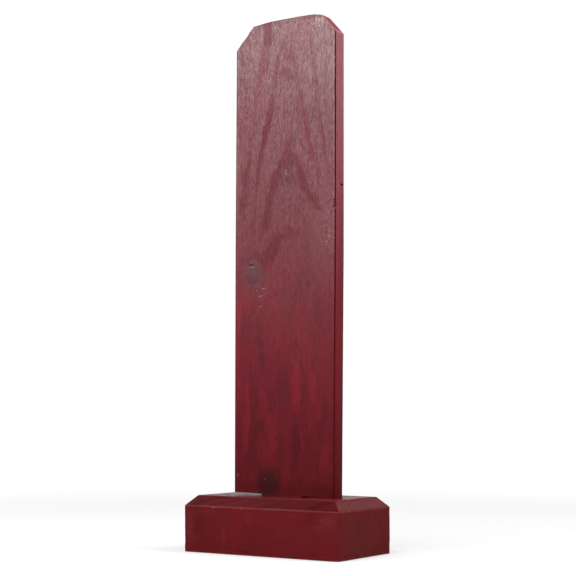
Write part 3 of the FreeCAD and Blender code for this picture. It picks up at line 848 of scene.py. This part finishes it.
# the board's finish; a ramp is (from, to) or (from, to, value before, value after), over heights unless noted
boardFinish = {
    # the face's reds: darker towards the foot; the grey in the high red is painted sheen
    "footRed": (0.122, 0.0046, 0.0082, 1), "middleRed": (0.165, 0.0036, 0.0135, 1),
    "highRed": (0.156, 0.0092, 0.020, 1), "middleRise": (46.0, 160.0), "highRise": (200.0, 300.0),
    "sideRed": (0.155, 0.0112, 0.0140, 1),                        # the front half of the side low down
    "sideBlend": (250.0, 190.0, 0.0, 0.7),
    # painted lamp light: the sides get lighter up their height
    "sideLightRamps": [(50.0, 150.0, 0.86, 1.2), (190.0, 245.0, 0.0, 0.18), (320.0, 360.0, 0.0, 0.13)],
    "backHazeColour": (0.122, 0.0165, 0.020, 1),                       # the back half of the sides: painted shade and painted reflection haze
    "backHazeDepth": (3.5, 10.5), "backHazeRise": (330.0, 270.0), "backHaze": 0.7,       # the first is over the depth
    "cutPaleAndLit": (0.30, 0.030, 0.048, 1), "cut": 0.75,               # the sawn corner cut at the right: paler wood, with painted light and sheen from above
    # painted shade on the long arrises, and how it fades towards the top
    "arrisShadeRed": (0.075, 0.0035, 0.006, 1), "arrisShadeFade": (360.0, 430.0, 1.0, 0.55),
    "tintPower": 0.6,                                             # of the shade, in green and blue
    "dark": (0.050, 0.0052, 0.0068, 1), "greyKnot": (0.098, 0.021, 0.029, 1),
    "bareAndGlint": (0.50, 0.33, 0.31, 1),                                # scratches, worn arrises and chips, and painted glints and highlights
    # the nick's dark red is painted shade
    "black": (0.035, 0.004, 0.006, 1), "nickShadeRed": (0.080, 0.002, 0.004, 1),
    "coatRoughness": 0.27, "coatIor": 1.7, "coat": 0.60, "bumpStrength": 0.5, "bumpHeight": 0.1,
    "coatFoot": (46.0, 70.0, 0.6, 1.0), "coatSide": (290.0, 350.0, 1.05, 0.9),
    "coatRight": (15.0, 42.0, 0.0, 0.14), "coatRightRise": (190.0, 250.0),      # the first is over X
    "roughness": (0.2, 0.8, 0.62, 0.48),                          # over the fibre
    # noises: turns per millimetre, detail, roughness, shift
    "swayX": ((0.012, 0.03, 0.012), 2.0), "swayZ": ((0.05, 0.05, 0.02), 2.0, 0.5, (7, 3, 1)),
    "speckle": ((0.95, 0.95, 0.28), 2.0, 0.6), "lump": ((0.34, 0.34, 0.2), 3.0, 0.6),
    "streak": ((0.16, 0.16, 0.011), 3.0, 0.6), "cloud": ((0.03, 0.03, 0.02), 2.0),
    "brushed": ((0.5, 0.5, 0.035), 3.0, 0.75, (3, 1, 5)), "jog": ((0.95, 0.95, 0.38), 2.0, 0.7),
    "fibre": {"Width": 1.0, "Length": 18.0},
    # the fine grain is fibre and speckle in these shares; how strong it is up the face, and on the sides
    "fibreShare": 1.4, "speckleShare": 2.05, "fineRise": (240.0, 330.0, 0.58, 1.0), "fineOnSide": 0.2,
    # what shows in the colour: the fine grain, more of it in the bands, the brush's streaks, and the slower noises
    "gritRise": (200.0, 380.0, 0.16, 0.42), "gritInBand": 0.5, "brushFall": (300.0, 200.0, 0.15, 0.65),
    "streakShade": (0.75, 0.35), "cloudShade": 0.3, "lumpShade": 0.36,          # the first: elsewhere, on the front
    # how the lumps break the bands and the sheen, and how the brush's streaks break the stains
    "bandBreak": (0.25, 0.75, 0.85, 1.35), "fineInBand": 0.8, "sheenBreak": (0.25, 0.75, 0.84, 1.16),
    "stainBreak": (0.3, 0.7, 0.5, 1.45),
    "archMiddle": 6.0, "archLean": (-4.07, 0.0183), "archRise": 0.8, "archTop": 432.0, "archSkew": 1.12,
    "archTip": 3.0, "archHalf": 49.0, "archSway": (9.0, 16.0),    # rounding, half width, swing across and up
    "ringStep": 0.235, "ringDepth": 3.0, "ringsShown": (236.0, 262.0), "shownFall": 0.045,
    "ringShare": (0.4, 0.05),                                     # how much of them shows: elsewhere, on the front
    # rings from the pith side outwards: place, depth of colour, and how far in it fades
    "rings": [(-5.0, 0.45, 0.35), (-4.0, 0.5, 0.35), (-3.0, 0.4, 0.3), (-2.03, 0.5, 0.28), (-1.06, 1.0, 0.40),
              (0.0, 0.72, 0.34), (0.92, 0.75, 0.30), (1.9, 0.5, 0.35), (3.0, 0.55, 0.4)],
    # knots: across, up, radius; then how much of the core and of the halo shows, the grey one's first
    "knots": [(-29, 232, 9.5), (-12.6, 56.0, 11.5)], "greySquat": 0.76,
    "cores": [(0.3, 0.7, 0.78, 1.0), (0.3, 0.7, 0.72, 0.98)], "greyCore": 0.75, "halos": (0.10, 0.14),
    "fineRelief": 0.25, "knotRelief": 0.12,
    # scratched places: across, up, half width, half height, then how long each scratch is across and up, and the
    # limit above which the noise shows one
    # the third and fourth, at the top right and on the right arris, are scratches and partly painted glints
    "scratches": [(45.5, 262, 5.5, 17, 2.8, 0.75, 0.582), (5, 317, 7, 5, 2.4, 0.8, 0.625),
                  (36, 440, 6, 7, 0.9, 2.4, 0.57), (51, 405, 1.5, 8, 0.6, 2.2, 0.56),
                  (-20, 212, 5, 9, 2.2, 0.8, 0.63)],
    "scratch": 0.44, "brightColour": 0.6, "brightCoat": 0.5,
    # single specks: across, up, half width, half height, and how bright (below nought: how dark); the bright ones
    # at the top right corner and the two on the right arris are painted glints
    "specks": [
        (-18.5, 219.6, 2.0, 0.6, 0.45), (-22, 213.2, 1.9, 0.6, 0.35), (-20.3, 213.9, 1.4, 0.5, 0.25),
        (-21, 204.6, 1.5, 0.9, 0.16), (-25, 218.5, 1.2, 0.6, 0.25), (-7.5, 182, 1.4, 0.9, 0.06),
        (40, 215.7, 1.7, 0.9, 0.07), (-43.5, 62.8, 1.0, 1.6, 0.2), (-16.2, 60.2, 0.8, 0.6, 0.2),
        (-24, 396.2, 1.0, 1.6, 0.12), (25, 328.6, 1.1, 1.4, 0.12), (33.2, 444.0, 0.8, 1.8, 0.9),
        (36.2, 443.2, 0.9, 1.8, 0.9), (39.0, 443.6, 1.0, 1.4, 1.0), (36.4, 439.4, 0.6, 2.2, 0.7),
        (40.4, 440.8, 0.7, 2.0, 0.55), (34, 439.6, 0.5, 1.6, 0.4), (22.6, 407.6, 0.8, 2.0, 0.12),
        (19, 430, 0.6, 2.6, 0.1), (-30, 238.4, 2.6, 0.45, 0.4), (51.2, 409, 0.6, 1.2, 0.7),
        (51.2, 403, 0.6, 1.6, 0.6), (-31, 240.4, 3.6, 0.55, -0.9), (-19.2, 357.8, 0.8, 0.9, -0.8),
        (-12, 357, 0.9, 0.8, -0.6), (-42.3, 401.8, 1.5, 0.8, -0.5), (-29, 220.8, 1.2, 0.6, -0.5),
        (-4.2, 94.6, 1.2, 1.2, -0.5), (19, 57.6, 1.2, 1.2, -0.5), (12, 444.5, 0.9, 0.9, -0.3),
    ],
}


def boardRings(n, x, z, point, depth, fray):
    # arches: height at the arch's crown h = max(z + 0.8 g, (z + a g) / (1 - b g)), where g is the distance from the
    # arches' middle line with a rounded tip; rings are even steps of ln(h), and go on through the wood's depth
    spec = boardFinish
    swing, bob = spec["archSway"]
    offset = x - spec["archMiddle"] + (n.noise(point, *spec["swayX"]) - 0.5) * swing
    offset = n.math("MAXIMUM", offset * -1.0, offset * spec["archSkew"])
    rounded = n.math("SQRT", offset * offset + spec["archTip"] ** 2) - spec["archTip"]
    tip = n.math("MINIMUM", rounded, spec["archHalf"])
    lift = z + (n.noise(point, *spec["swayZ"]) - 0.5) * bob
    lean, rise = spec["archLean"]
    leaning = (lift + tip * lean) / (1.0 - tip * rise)
    crown = n.math("MAXIMUM", n.math("MAXIMUM", leaning, lift + tip * spec["archRise"]), 20.0)
    ring = n.math("LOGARITHM", crown / spec["archTop"], math.e) / spec["ringStep"]
    ring = ring - depth / spec["ringDepth"] + fray * 0.5

    # the dark late wood: from its outer edge, which is sharp, it fades inwards
    # (on the pith side of the first ring in the list, all rings are alike)
    band = n.math("FRACT", ring) ** 2.5 * 0.55 * n.math("LESS_THAN", ring, spec["rings"][0][0])
    for place, strength, fade in spec["rings"]:
        rising = n.ramp(ring, place - fade, place - fade * 0.35)
        ending = n.ramp(ring, place + 0.05, place - 0.02)
        band = n.math("MAXIMUM", band, rising * ending * strength)
    # the rings show only where the wood is thinly stained: above a line that falls to both sides
    return band * n.ramp(lift - offset * offset * spec["shownFall"], *spec["ringsShown"])


def boardMarks(n, x, y, z, point):
    # scratches and bright specks, some of them painted glints, in the first value, dark specks in the second; each
    # place is the greatest of its marks, and a fine noise stirs the specks' outlines
    spec = boardFinish
    bright, black = 0.0, 0.0
    for across, up, halfWidth, halfHeight, longX, longZ, limit in spec["scratches"]:
        where = n.oval(patchGroup, point, across, up, halfWidth, halfHeight)
        fleck = n.use(fleckGroup, Point=point, Where=where, Limit=limit, **{"Long X": longX, "Long Z": longZ})
        bright = n.math("MAXIMUM", bright, fleck * spec["scratch"])
    jog = (n.noise(point, *spec["jog"]) - 0.5) * 2.6
    crooked = n.join(x + jog, y, z + jog)
    for *place, level in spec["specks"]:
        mask = n.oval(speckGroup, crooked, *place)
        if level > 0:
            bright = n.math("MAXIMUM", bright, mask * level)
        else:
            black = n.math("MAXIMUM", black, mask * -level)
    return bright, black


def makeBoardMaterial():
    # a dark red stain under a satin varnish, which the late wood, the fine grain and wear all break up
    spec = boardFinish
    material, n, shader, point, arris = newFinish("redStainOnBoard")
    x, y, z = n.split(point)
    depth = y - board["front"]
    onFront = n.ramp(depth, 1.4, 0.7)
    facing = n.split(n.add("ShaderNodeNewGeometry").outputs["Normal"])
    isSide = n.ramp(n.math("ABSOLUTE", facing[0]), 0.75, 0.95)
    fibre = n.use(fibreGroup, Point=point, **spec["fibre"])
    fray = fibre - 0.5

    # speckle, lumps, the brush's long streaks and slow clouds
    speckle, lump, streak, cloud, brushed = (
        n.noise(point, *spec[key]) for key in ("speckle", "lump", "streak", "cloud", "brushed"))
    fine = fray * spec["fibreShare"] + (speckle - 0.5) * spec["speckleShare"]
    fine = fine * n.mix(isSide, n.ramp(z, *spec["fineRise"]), spec["fineOnSide"])
    band = boardRings(n, x, z, point, depth, fray) * n.mix(onFront, *spec["ringShare"])
    faceBand = n.attribute("band") * (n.ramp(lump, *spec["bandBreak"]) + fine * spec["fineInBand"])
    band = n.math("MAXIMUM", band, faceBand)

    # colour: the reds of the face up its height, darker towards the foot and greyer towards the top as painted
    # sheen; the sides, lighter upwards as painted lamp light; and the corner cut at the right, paler and carrying
    # painted light
    colour = n.blend(n.ramp(z, *spec["middleRise"]), spec["footRed"], spec["middleRed"])
    colour = n.blend(n.ramp(z, *spec["highRise"]), colour, spec["highRed"])
    colour = n.blend(isSide * n.ramp(z, *spec["sideBlend"]), colour, spec["sideRed"])
    # painted lamp light on the sides, lighter upwards
    low, middle, high = (n.ramp(z, *values) for values in spec["sideLightRamps"])
    side = low + middle - high
    colour = n.blend(isSide, colour, n.blend(1.0, colour, n.join(side, side, side), "MULTIPLY"))
    # painted shade and reflection haze on the back half of the sides, lower down
    backHaze = isSide * n.ramp(depth, *spec["backHazeDepth"]) * n.ramp(z, *spec["backHazeRise"])
    colour = n.blend(backHaze * spec["backHaze"], colour, spec["backHazeColour"])
    # the corner cut faces up and right: paler wood, with painted light and painted sheen
    isCut = n.ramp(facing[2], 0.3, 0.5) * n.ramp(facing[0], 0.3, 0.5)
    colour = n.blend(isCut * spec["cut"], colour, spec["cutPaleAndLit"])
    shade = (streak - 0.5) * n.mix(onFront, *spec["streakShade"]) + (cloud - 0.5) * spec["cloudShade"]
    shade = shade + fine * (n.ramp(z, *spec["gritRise"]) + band * spec["gritInBand"])
    shade = shade + (brushed - 0.5) * n.ramp(z, *spec["brushFall"]) + (lump - 0.5) * spec["lumpShade"]
    stain = n.attribute("stain") * n.ramp(brushed, *spec["stainBreak"])
    colour = shaded(n, colour, 1.0 + shade - stain, spec["tintPower"])

    # the varnish: the bands, the fine grain and the lumps break its sheen
    coat = (1.0 - band) * spec["coat"] * (1.0 + fine) * n.ramp(lump, *spec["sheenBreak"])
    coat = coat * n.ramp(z, *spec["coatFoot"]) * n.mix(isSide, 1.0, n.ramp(z, *spec["coatSide"]))
    coat = coat * (1.0 + n.ramp(x, *spec["coatRight"]) * n.ramp(z, *spec["coatRightRise"]))
    relief = fine * spec["fineRelief"]

    # knots: a small grey one and half of a large dark one at the foot
    (greyX, greyZ, greySize), (darkX, darkZ, darkSize) = spec["knots"]
    core, ripple, halo = n.use(knotGroup, Point=point, Across=greyX, Up=greyZ, Radius=greySize,
                               Squat=spec["greySquat"])
    mottle = n.ramp(lump, *spec["cores"][0]) * (1.0 + fine * 0.6)
    colour = n.blend(core * mottle * spec["greyCore"], colour, spec["greyKnot"])
    colour = n.blend(halo * spec["halos"][0], colour, spec["dark"])
    coat = coat * (1.0 + core * 0.06) * (1.0 + ripple * 0.08)
    relief = relief + ripple * spec["knotRelief"]
    core, ripple, halo = n.use(knotGroup, Point=point, Across=darkX, Up=darkZ, Radius=darkSize)
    colour = n.blend(core * n.ramp(lump, *spec["cores"][1]), colour, spec["dark"])
    colour = n.blend(halo * spec["halos"][1], colour, spec["dark"])
    relief = relief + ripple * spec["knotRelief"]

    # scratches and specks on the front, some of them painted glints, and the nick on the side, darkened as painted
    # shade
    bright, black = (mark * onFront for mark in boardMarks(n, x, y, z, point))
    colour = n.blend(bright * spec["brightColour"], colour, spec["bareAndGlint"])
    colour = n.blend(black, colour, spec["black"])
    # painted shade in the nick on the side
    nick = n.oval(speckGroup, n.join(y, x, z), 1.6, board["nick"][0], 3.6, 0.9) * n.ramp(x, 50.0, 51.0)
    colour = n.blend(nick, colour, spec["nickShadeRed"])
    coat = coat * (1.0 + bright * spec["brightCoat"]) * (1.0 - black) * (1.0 - nick)

    # arrises: worn spots; thicker varnish beside them, with a painted highlight; a pale one at the right cut, worn
    # and with a painted highlight; and painted shade in dark red on the others, fading towards the top
    wear = n.use(wearGroup, Point=point, Arris=arris, Amount=0.30, Size=4.0)
    colour = n.blend(wear * 0.3, colour, spec["bareAndGlint"])
    onArris = n.ramp(arris, 0.32, 0.5)
    beside = n.ramp(arris, 0.0, 0.15) * (1.0 - onArris) * n.ramp(z, 130.0, 330.0)
    # painted highlight along the face beside the arrises
    colour = n.blend(beside * 0.08, colour, spec["bareAndGlint"])
    cutArrisWearAndGlint = n.ramp(facing[2], 0.12, 0.3) * n.ramp(x, 30.0, 36.0)
    # painted highlight with wear on the arris of the right corner cut
    colour = n.blend(onArris * cutArrisWearAndGlint * 0.5, colour, spec["bareAndGlint"])
    onArris = onArris * (1.0 - cutArrisWearAndGlint) * n.ramp(z, *spec["arrisShadeFade"])
    # painted shade: the dark red line along the arrises
    colour = n.blend(onArris * 0.8, colour, spec["arrisShadeRed"])
    coat = n.math("MULTIPLY", coat * (1.0 + beside * 0.2), 1.0 - onArris * 0.75, clamp=True)

    fillShader(n, shader, spec, colour, coat, n.ramp(fibre, *spec["roughness"]), relief)
    return material


# the base's finish; ramps as on the board
baseFinish = {
    "red": (0.143, 0.0064, 0.0092, 1), "endRed": (0.150, 0.0155, 0.0175, 1),
    # dark is the painted shadow on the top under the board's right shoulder
    "dark": (0.05, 0.007, 0.008, 1), "bareAndGlint": (0.36, 0.20, 0.19, 1),
    "sheenPink": (0.155, 0.024, 0.027, 1), "dullEnd": (0.118, 0.022, 0.023, 1),
    "dullPlace": (-8.0, (34.0, 8.0), (37.0, 26.0)),               # its middle along Y, how far from it, how high
    # the long bevels: darker cross-grain stain, and painted shadow of the board that deepens to the right
    "bevelToneAndShadow": (-60.0, 55.0, 0.80, 0.62), "bevelCoat": (-60.0, 55.0, 0.60, 0.34), "endBevelCoat": 0.60,  # over X
    # painted light: the top lighter to the right of the board
    "topPaintedLight": (40.0, 54.0, 1.0, 1.25), "topCoat": 0.08,         # over X
    "coatRoughness": 0.27, "coatIor": 1.7, "coat": 0.52, "bumpStrength": 0.5, "bumpHeight": 0.1,
    "roughness": 0.5, "endRoughness": 0.68,
    # rings round a pith line (across and up) that climbs along X
    "pith": (10.0, -60.0), "drift": 0.155, "ringStep": 3.1, "ringShade": (10.0, 36.0, 0.42, 0.08),
    # noises: turns per millimetre, detail, roughness
    "sway": ((0.02, 0.03, 0.03), 2.0), "pores": ((0.9, 0.9, 0.9), 3.0, 0.7),
    "streak": ((0.011, 0.12, 0.12), 3.0, 0.6), "cloud": ((0.025, 0.03, 0.05), 3.0, 0.6),
    "blotch": ((0.09, 0.11, 0.06), 4.0, 0.7),
    "ringFibre": {"Width": 1.4, "Length": 18.0}, "fibre": {"Width": 0.9, "Length": 14.0},
    # how much of each shows in the colour; the blotches on the long sides and on the ends, and the rings below the
    # bevel and on it
    "streakShade": 0.25, "cloudShade": 0.5, "fibreShade": 0.28, "blotchShade": (0.45, 0.6), "bandOn": (0.3, 1.0),
    "tintPower": 0.7,                                             # of the shade, in green and blue
    # patches on the front: across, up, half width, half height, strength
    "stains": [
        (-60, 20, 8, 16, 0.16), (5, 12, 14, 9, 0.08), (52, 18, 9, 22, 0.12), (-20, 22, 16, 14, -0.1),
        (-66, 9, 7, 6, -0.12),
    ],
    # patches of painted sheen on the front: across, up, half width, half height, strength
    "sheenPatches": [
        (-69, 22, 3.5, 13, 0.5), (-35, 16, 2.5, 10, 0.3), (66, 31, 8, 5, 0.5), (56, 25, 6, 2.5, 0.3),
        (-52, 34, 12, 2, 0.25), (-10, 29, 3, 5, 0.2), (30, 33, 9, 2.5, 0.2),
    ],
    "specks": [
        (-45.5, 37.4, 2.0, 0.8, 0.11), (-52.0, 38.2, 1.4, 0.7, 0.07), (-17.0, 37.5, 1.4, 0.7, 0.09),
        (59.6, 31.0, 1.8, 0.8, 0.07),
    ],
    # the top under the right shoulder, bare of varnish and darkened as painted shadow: where it starts and ends
    # along X, and along Y
    "covered": [(18.0, 20.0), (53.0, 51.5), (-9.6, -8.8), (5.4, 4.6)],
}


def makeBaseMaterial():
    # the same stain and varnish on a block whose grain runs along X, duller on the ends, with patches of painted
    # sheen on the front and painted light and shade on the top and the bevels
    spec = baseFinish
    material, n, shader, point, arris = newFinish("redStainOnBase")
    x, y, z = n.split(point)
    turned = n.join(z, y, x)                                       # the grain runs along X
    # rings: distance from the pith line in even steps, swayed and frayed; some are fainter than others
    pithY, pithZ = spec["pith"]
    up, aside = z - pithZ - x * spec["drift"], y - pithY
    fray = n.use(fibreGroup, Point=turned, **spec["ringFibre"]) - 0.5
    sway = n.noise(point, *spec["sway"]) - 0.5
    turns = (n.math("SQRT", up * up + aside * aside) + sway * 7.0 + fray * 1.4) / spec["ringStep"]
    band = n.ramp(n.math("FRACT", turns), 0.35, 0.9) * n.ramp(n.math("FRACT", turns), 1.0, 0.93)
    band = band * n.ramp(n.noise(n.join(turns * 0.9, 0.0, 0.0), detail=1.0), 0.35, 0.65)

    facing = n.split(n.add("ShaderNodeNewGeometry").outputs["Normal"])
    isEnd = n.ramp(n.math("ABSOLUTE", facing[0]), 0.75, 0.95)
    isTop = n.ramp(facing[2], 0.85, 0.95)
    isBevel = n.ramp(z, 38.0, 39.0) * n.ramp(facing[2], 0.3, 0.6)
    onLongBevel = isBevel * n.ramp(n.math("ABSOLUTE", facing[1]), 0.4, 0.6)
    onFront = n.ramp(facing[1], -0.7, -0.9)
    fibre = n.use(fibreGroup, Point=turned, **spec["fibre"])
    pores, streak, cloud, blotch = (n.noise(point, *spec[key]) for key in ("pores", "streak", "cloud", "blotch"))

    # how dark the stain is: streaks, clouds, fibres or end grain, rings, and patches; with painted shadow on the
    # long bevels and painted light on the top to the right of the board
    shade = 1.0 + (streak - 0.5) * spec["streakShade"] + (cloud - 0.5) * spec["cloudShade"]
    shade = shade + (n.mix(isEnd, fibre, pores) - 0.5) * spec["fibreShade"]
    band = band * n.mix(isBevel, *spec["bandOn"])
    shade = shade - band * n.ramp(x, *spec["ringShade"])
    # the long bevels darker, deepening to the right as painted shadow of the board
    shade = shade * n.mix(onLongBevel, 1.0, n.ramp(x, *spec["bevelToneAndShadow"]))
    # painted light on the top to the right of the board
    shade = shade * n.mix(isTop, 1.0, n.ramp(x, *spec["topPaintedLight"]))
    shade = shade + (blotch - 0.5) * n.mix(isEnd, *spec["blotchShade"])
    for *place, strength in spec["stains"]:
        shade = shade - n.oval(patchGroup, point, *place) * strength
    colour = shaded(n, n.blend(isEnd, spec["red"], spec["endRed"]), shade, spec["tintPower"])
    # worn arrises, a faint pale line that along the bevel's lower edge is also a painted highlight
    wear = n.use(wearGroup, Point=point, Arris=arris, Amount=0.5, Size=9.0)
    colour = n.blend(wear * 0.08, colour, spec["bareAndGlint"])

    # patches of painted sheen on the front, dull end grain in the middle of the end, and pale specks on the front
    for *place, strength in spec["sheenPatches"]:
        mask = n.oval(patchGroup, point, *place) * onFront * n.ramp(fibre, 0.3, 0.7, 0.5, 1.3)
        colour = n.blend(mask * strength, colour, spec["sheenPink"])
    dullY, dullReach, dullRise = spec["dullPlace"]
    dull = n.ramp(n.math("ABSOLUTE", y - dullY), *dullReach) * n.ramp(z, *dullRise) * isEnd
    dull = dull * (n.ramp(pores, 0.3, 0.7) * n.ramp(blotch, 0.3, 0.6))
    colour = n.blend(dull * 0.9, colour, spec["dullEnd"])
    left, right, front, back = (n.ramp(axis, *ends) for axis, ends in zip((x, x, y, y), spec["covered"]))
    covered = left * right * (front * back)
    # painted shadow on the top under the board's right shoulder
    colour = n.blend(covered * 0.7, colour, spec["dark"])
    for *place, strength in spec["specks"]:
        mask = n.oval(speckGroup, point, *place) * n.ramp(y, -39.0, -40.5)
        colour = n.blend(mask * strength, colour, spec["bareAndGlint"])

    # the varnish
    coat = n.mix(onLongBevel, spec["coat"], n.ramp(x, *spec["bevelCoat"]))
    coat = n.mix(isBevel * n.ramp(facing[0], 0.4, 0.6), coat, spec["endBevelCoat"])
    coat = (coat - (blotch - 0.5) * 0.3) * (1.0 - covered)
    coat = coat + isTop * spec["topCoat"] - band * 0.2 + (fibre - 0.5) * 0.4
    coat = n.math("SUBTRACT", coat, n.ramp(arris, 0.3, 0.7) * 0.36, clamp=True)

    roughness = n.mix(isEnd, spec["roughness"], spec["endRoughness"])
    fillShader(n, shader, spec, colour, coat, roughness, fibre * 0.7 + pores * 0.3)
    return material


tabletBoard.data.materials.append(makeBoardMaterial())
baseBlock.data.materials.append(makeBaseMaterial())
print("finishes made")


# the stage, in metres and degrees
stage = {
    "worldLevel": 0.42, "floorColour": 0.72, "floorLift": 0.35,
    "floorNear": 0.45, "floorFar": 1.0,           # from the object, where the floor passes into plain white
    "floorSteps": (0, 1.2, 13), "floorEdge": 2.6, "floorDrop": 0.0002,
    "unreflected": ["softboxSide"],
    # dark walls round the camera, with an opening and a glow behind the object; both are seen only in reflections
    "flagRadius": 3.0, "openTurn": 33.0, "openHalf": 28.0, "openHigh": 13.0,
    "wallGlow": 0.015, "domeGlow": 0.24, "backGlow": 0.40, "backTurn": -14, "backHalf": 58, "clothGlow": 0.01,
    # softboxes: place, target, width, height, radiance
    "softboxes": {
        "softboxKey": ((-1.09, -1.68, 1.25), (0.0, 0.0, 1.25), 1.3, 0.70, 7.4),
        "softboxLow": ((-1.09, -1.68, 0.62), (0.0, 0.0, 0.62), 1.3, 0.46, 1.6),
        "softboxBehind": ((1.05, 1.62, 1.05), (0.0, 0.0, 1.05), 1.1, 0.70, 1.36),
        "softboxFront": ((0.05, -0.75, 1.15), (0.0, 0.0, 0.20), 0.6, 0.40, 6.0),
        "softboxSide": ((0.60, 0.12, 0.74), (0.05, 0.0, 0.46), 0.35, 0.35, 9.0),
    },
}


def addSoftbox(name, place, target, width, height, radiance):
    # power = radiance x pi x area; the lamp looks along its own -Z, so its back points away from the target
    data = bpy.data.lights.new(name, "AREA")
    data.shape = "RECTANGLE"
    data.size, data.size_y = width, height
    data.energy = radiance * math.pi * width * height
    item = bpy.data.objects.new(name, data)
    bpy.context.scene.collection.objects.link(item)
    item.location = place
    away = np.array(place) - np.array(target)
    away /= np.linalg.norm(away)
    side = np.cross((0, 0, 1), away)
    side /= np.linalg.norm(side)
    item.matrix_world = axesMatrix(side, np.cross(away, side), away, place)
    item.visible_camera = False
    item.visible_glossy = name not in stage["unreflected"]


def viewRays(n):
    # 1 for rays that show the background: from the camera, in a gloss, or through glass
    path = n.add("ShaderNodeLightPath").outputs
    seen = n.math("MAXIMUM", path["Is Camera Ray"], path["Is Glossy Ray"])
    return n.math("MAXIMUM", seen, path["Is Transmission Ray"])


def makeWorld():
    # plain white where a ray shows the background, and a dimmer grey that lights the object
    world = bpy.data.worlds.new("studio")
    bpy.context.scene.world = world
    n = emptyTree(world)
    level = stage["worldLevel"]
    background = n.add("ShaderNodeBackground")
    n.put(background.inputs["Color"], n.blend(viewRays(n), (level, level, level, 1), (1, 1, 1, 1)))
    n.put(n.add("ShaderNodeOutputWorld").inputs[0], background.outputs[0])
    world.cycles.sampling_method = "NONE"


def roundSheet(name, rings, turn, height, attributes=None, **order):
    # a flat sheet of rings round the origin
    points = [rings * np.cos(turn), rings * np.sin(turn), np.full((len(rings), len(turn)), height)]
    quads = gridQuads(len(rings), len(turn), **order)
    return newPiece(name, np.stack(points, -1).reshape(-1, 3), quads, attributes)


def makeFloor():
    # a round floor; beyond the near radius it passes into plain white
    rings = np.concatenate([np.linspace(*stage["floorSteps"]), [stage["floorEdge"]]])[:, None] / mm
    turn = np.linspace(0, 2 * math.pi, 96, endpoint=False)
    item = roundSheet("paleFloor", rings, turn, -stage["floorDrop"] / mm, loopColumns=True, flip=True)
    material = bpy.data.materials.new("paleFloor")
    n = emptyTree(material)
    viewed, grey = viewRays(n), stage["floorColour"]
    diffuse = n.add("ShaderNodeBsdfDiffuse")
    diffuse.inputs["Color"].default_value = (grey, grey, grey, 1)
    lift, white = n.add("ShaderNodeEmission"), n.add("ShaderNodeEmission")
    n.put(lift.inputs["Strength"], viewed * stage["floorLift"])
    lit, mixed = n.add("ShaderNodeAddShader"), n.add("ShaderNodeMixShader")
    n.put(lit.inputs[0], diffuse.outputs[0])
    n.put(lit.inputs[1], lift.outputs[0])
    far = n.add("ShaderNodeVectorMath", operation="LENGTH")
    n.put(far.inputs[0], n.add("ShaderNodeTexCoord").outputs["Object"])
    fade = n.ramp(far.outputs["Value"], stage["floorNear"], stage["floorFar"])
    for socket, value in zip(mixed.inputs, (viewed * fade, lit.outputs[0], white.outputs[0])):
        n.put(socket, value)
    n.put(n.add("ShaderNodeOutputMaterial").inputs[0], mixed.outputs[0])
    item.data.materials.append(material)


def makeFlags():
    # dark studio walls and table cloth that only reflections see: a dome, open low down behind the object, whose
    # brightness follows the direction, and a disc over the floor
    turn = np.radians(np.linspace(0, 360, 145))                     # from behind the object, anticlockwise
    rise = np.radians(np.concatenate([np.linspace(-3, 20, 24), np.linspace(24, 90, 23)]))
    radius = stage["flagRadius"] / mm
    up, bearing = np.meshgrid(rise, turn, indexing="ij")
    points = np.stack([np.cos(up) * -np.sin(bearing), np.cos(up) * np.cos(bearing), np.sin(up)], -1) * radius
    high, turned = np.degrees(up), np.degrees(bearing)
    sideways = (turned + 180) % 360 - 180                           # + is to the left as the camera sees it
    behind = np.exp(-((sideways - stage["backTurn"]) / stage["backHalf"]) ** 4)
    behind = behind * smoothStep(4, 14, high) * smoothStep(52, 38, high)
    glow = stage["wallGlow"] + stage["domeGlow"] * smoothStep(35, 60, high) + stage["backGlow"] * behind
    quads = gridQuads(*up.shape)
    middleTurn, middleRise = (angle.reshape(-1)[quads].mean(1) for angle in (sideways, high))
    opening = (np.abs(middleTurn - stage["openTurn"]) < stage["openHalf"]) & (middleRise < stage["openHigh"])
    dome = newPiece("darkWalls", points.reshape(-1, 3), quads[~opening], {"glow": glow.reshape(-1)})
    rings = np.array([[1.0], [radius]])
    cloth = roundSheet("darkCloth", rings, turn, 0.3, {"glow": np.full(2 * len(turn), stage["clothGlow"])})
    material = bpy.data.materials.new("darkFlag")
    n = emptyTree(material)
    emission = n.add("ShaderNodeEmission")
    n.put(emission.inputs["Strength"], n.attribute("glow"))
    n.put(n.add("ShaderNodeOutputMaterial").inputs[0], emission.outputs[0])
    material.cycles.emission_sampling = "NONE"
    for item in (dome, cloth):
        item.data.materials.append(material)
        item.visible_camera = item.visible_diffuse = item.visible_transmission = False
        item.visible_shadow = item.visible_volume_scatter = False


for name, values in stage["softboxes"].items():
    addSoftbox(name, *values)
makeWorld()
makeFloor()
makeFlags()
print("stage made")
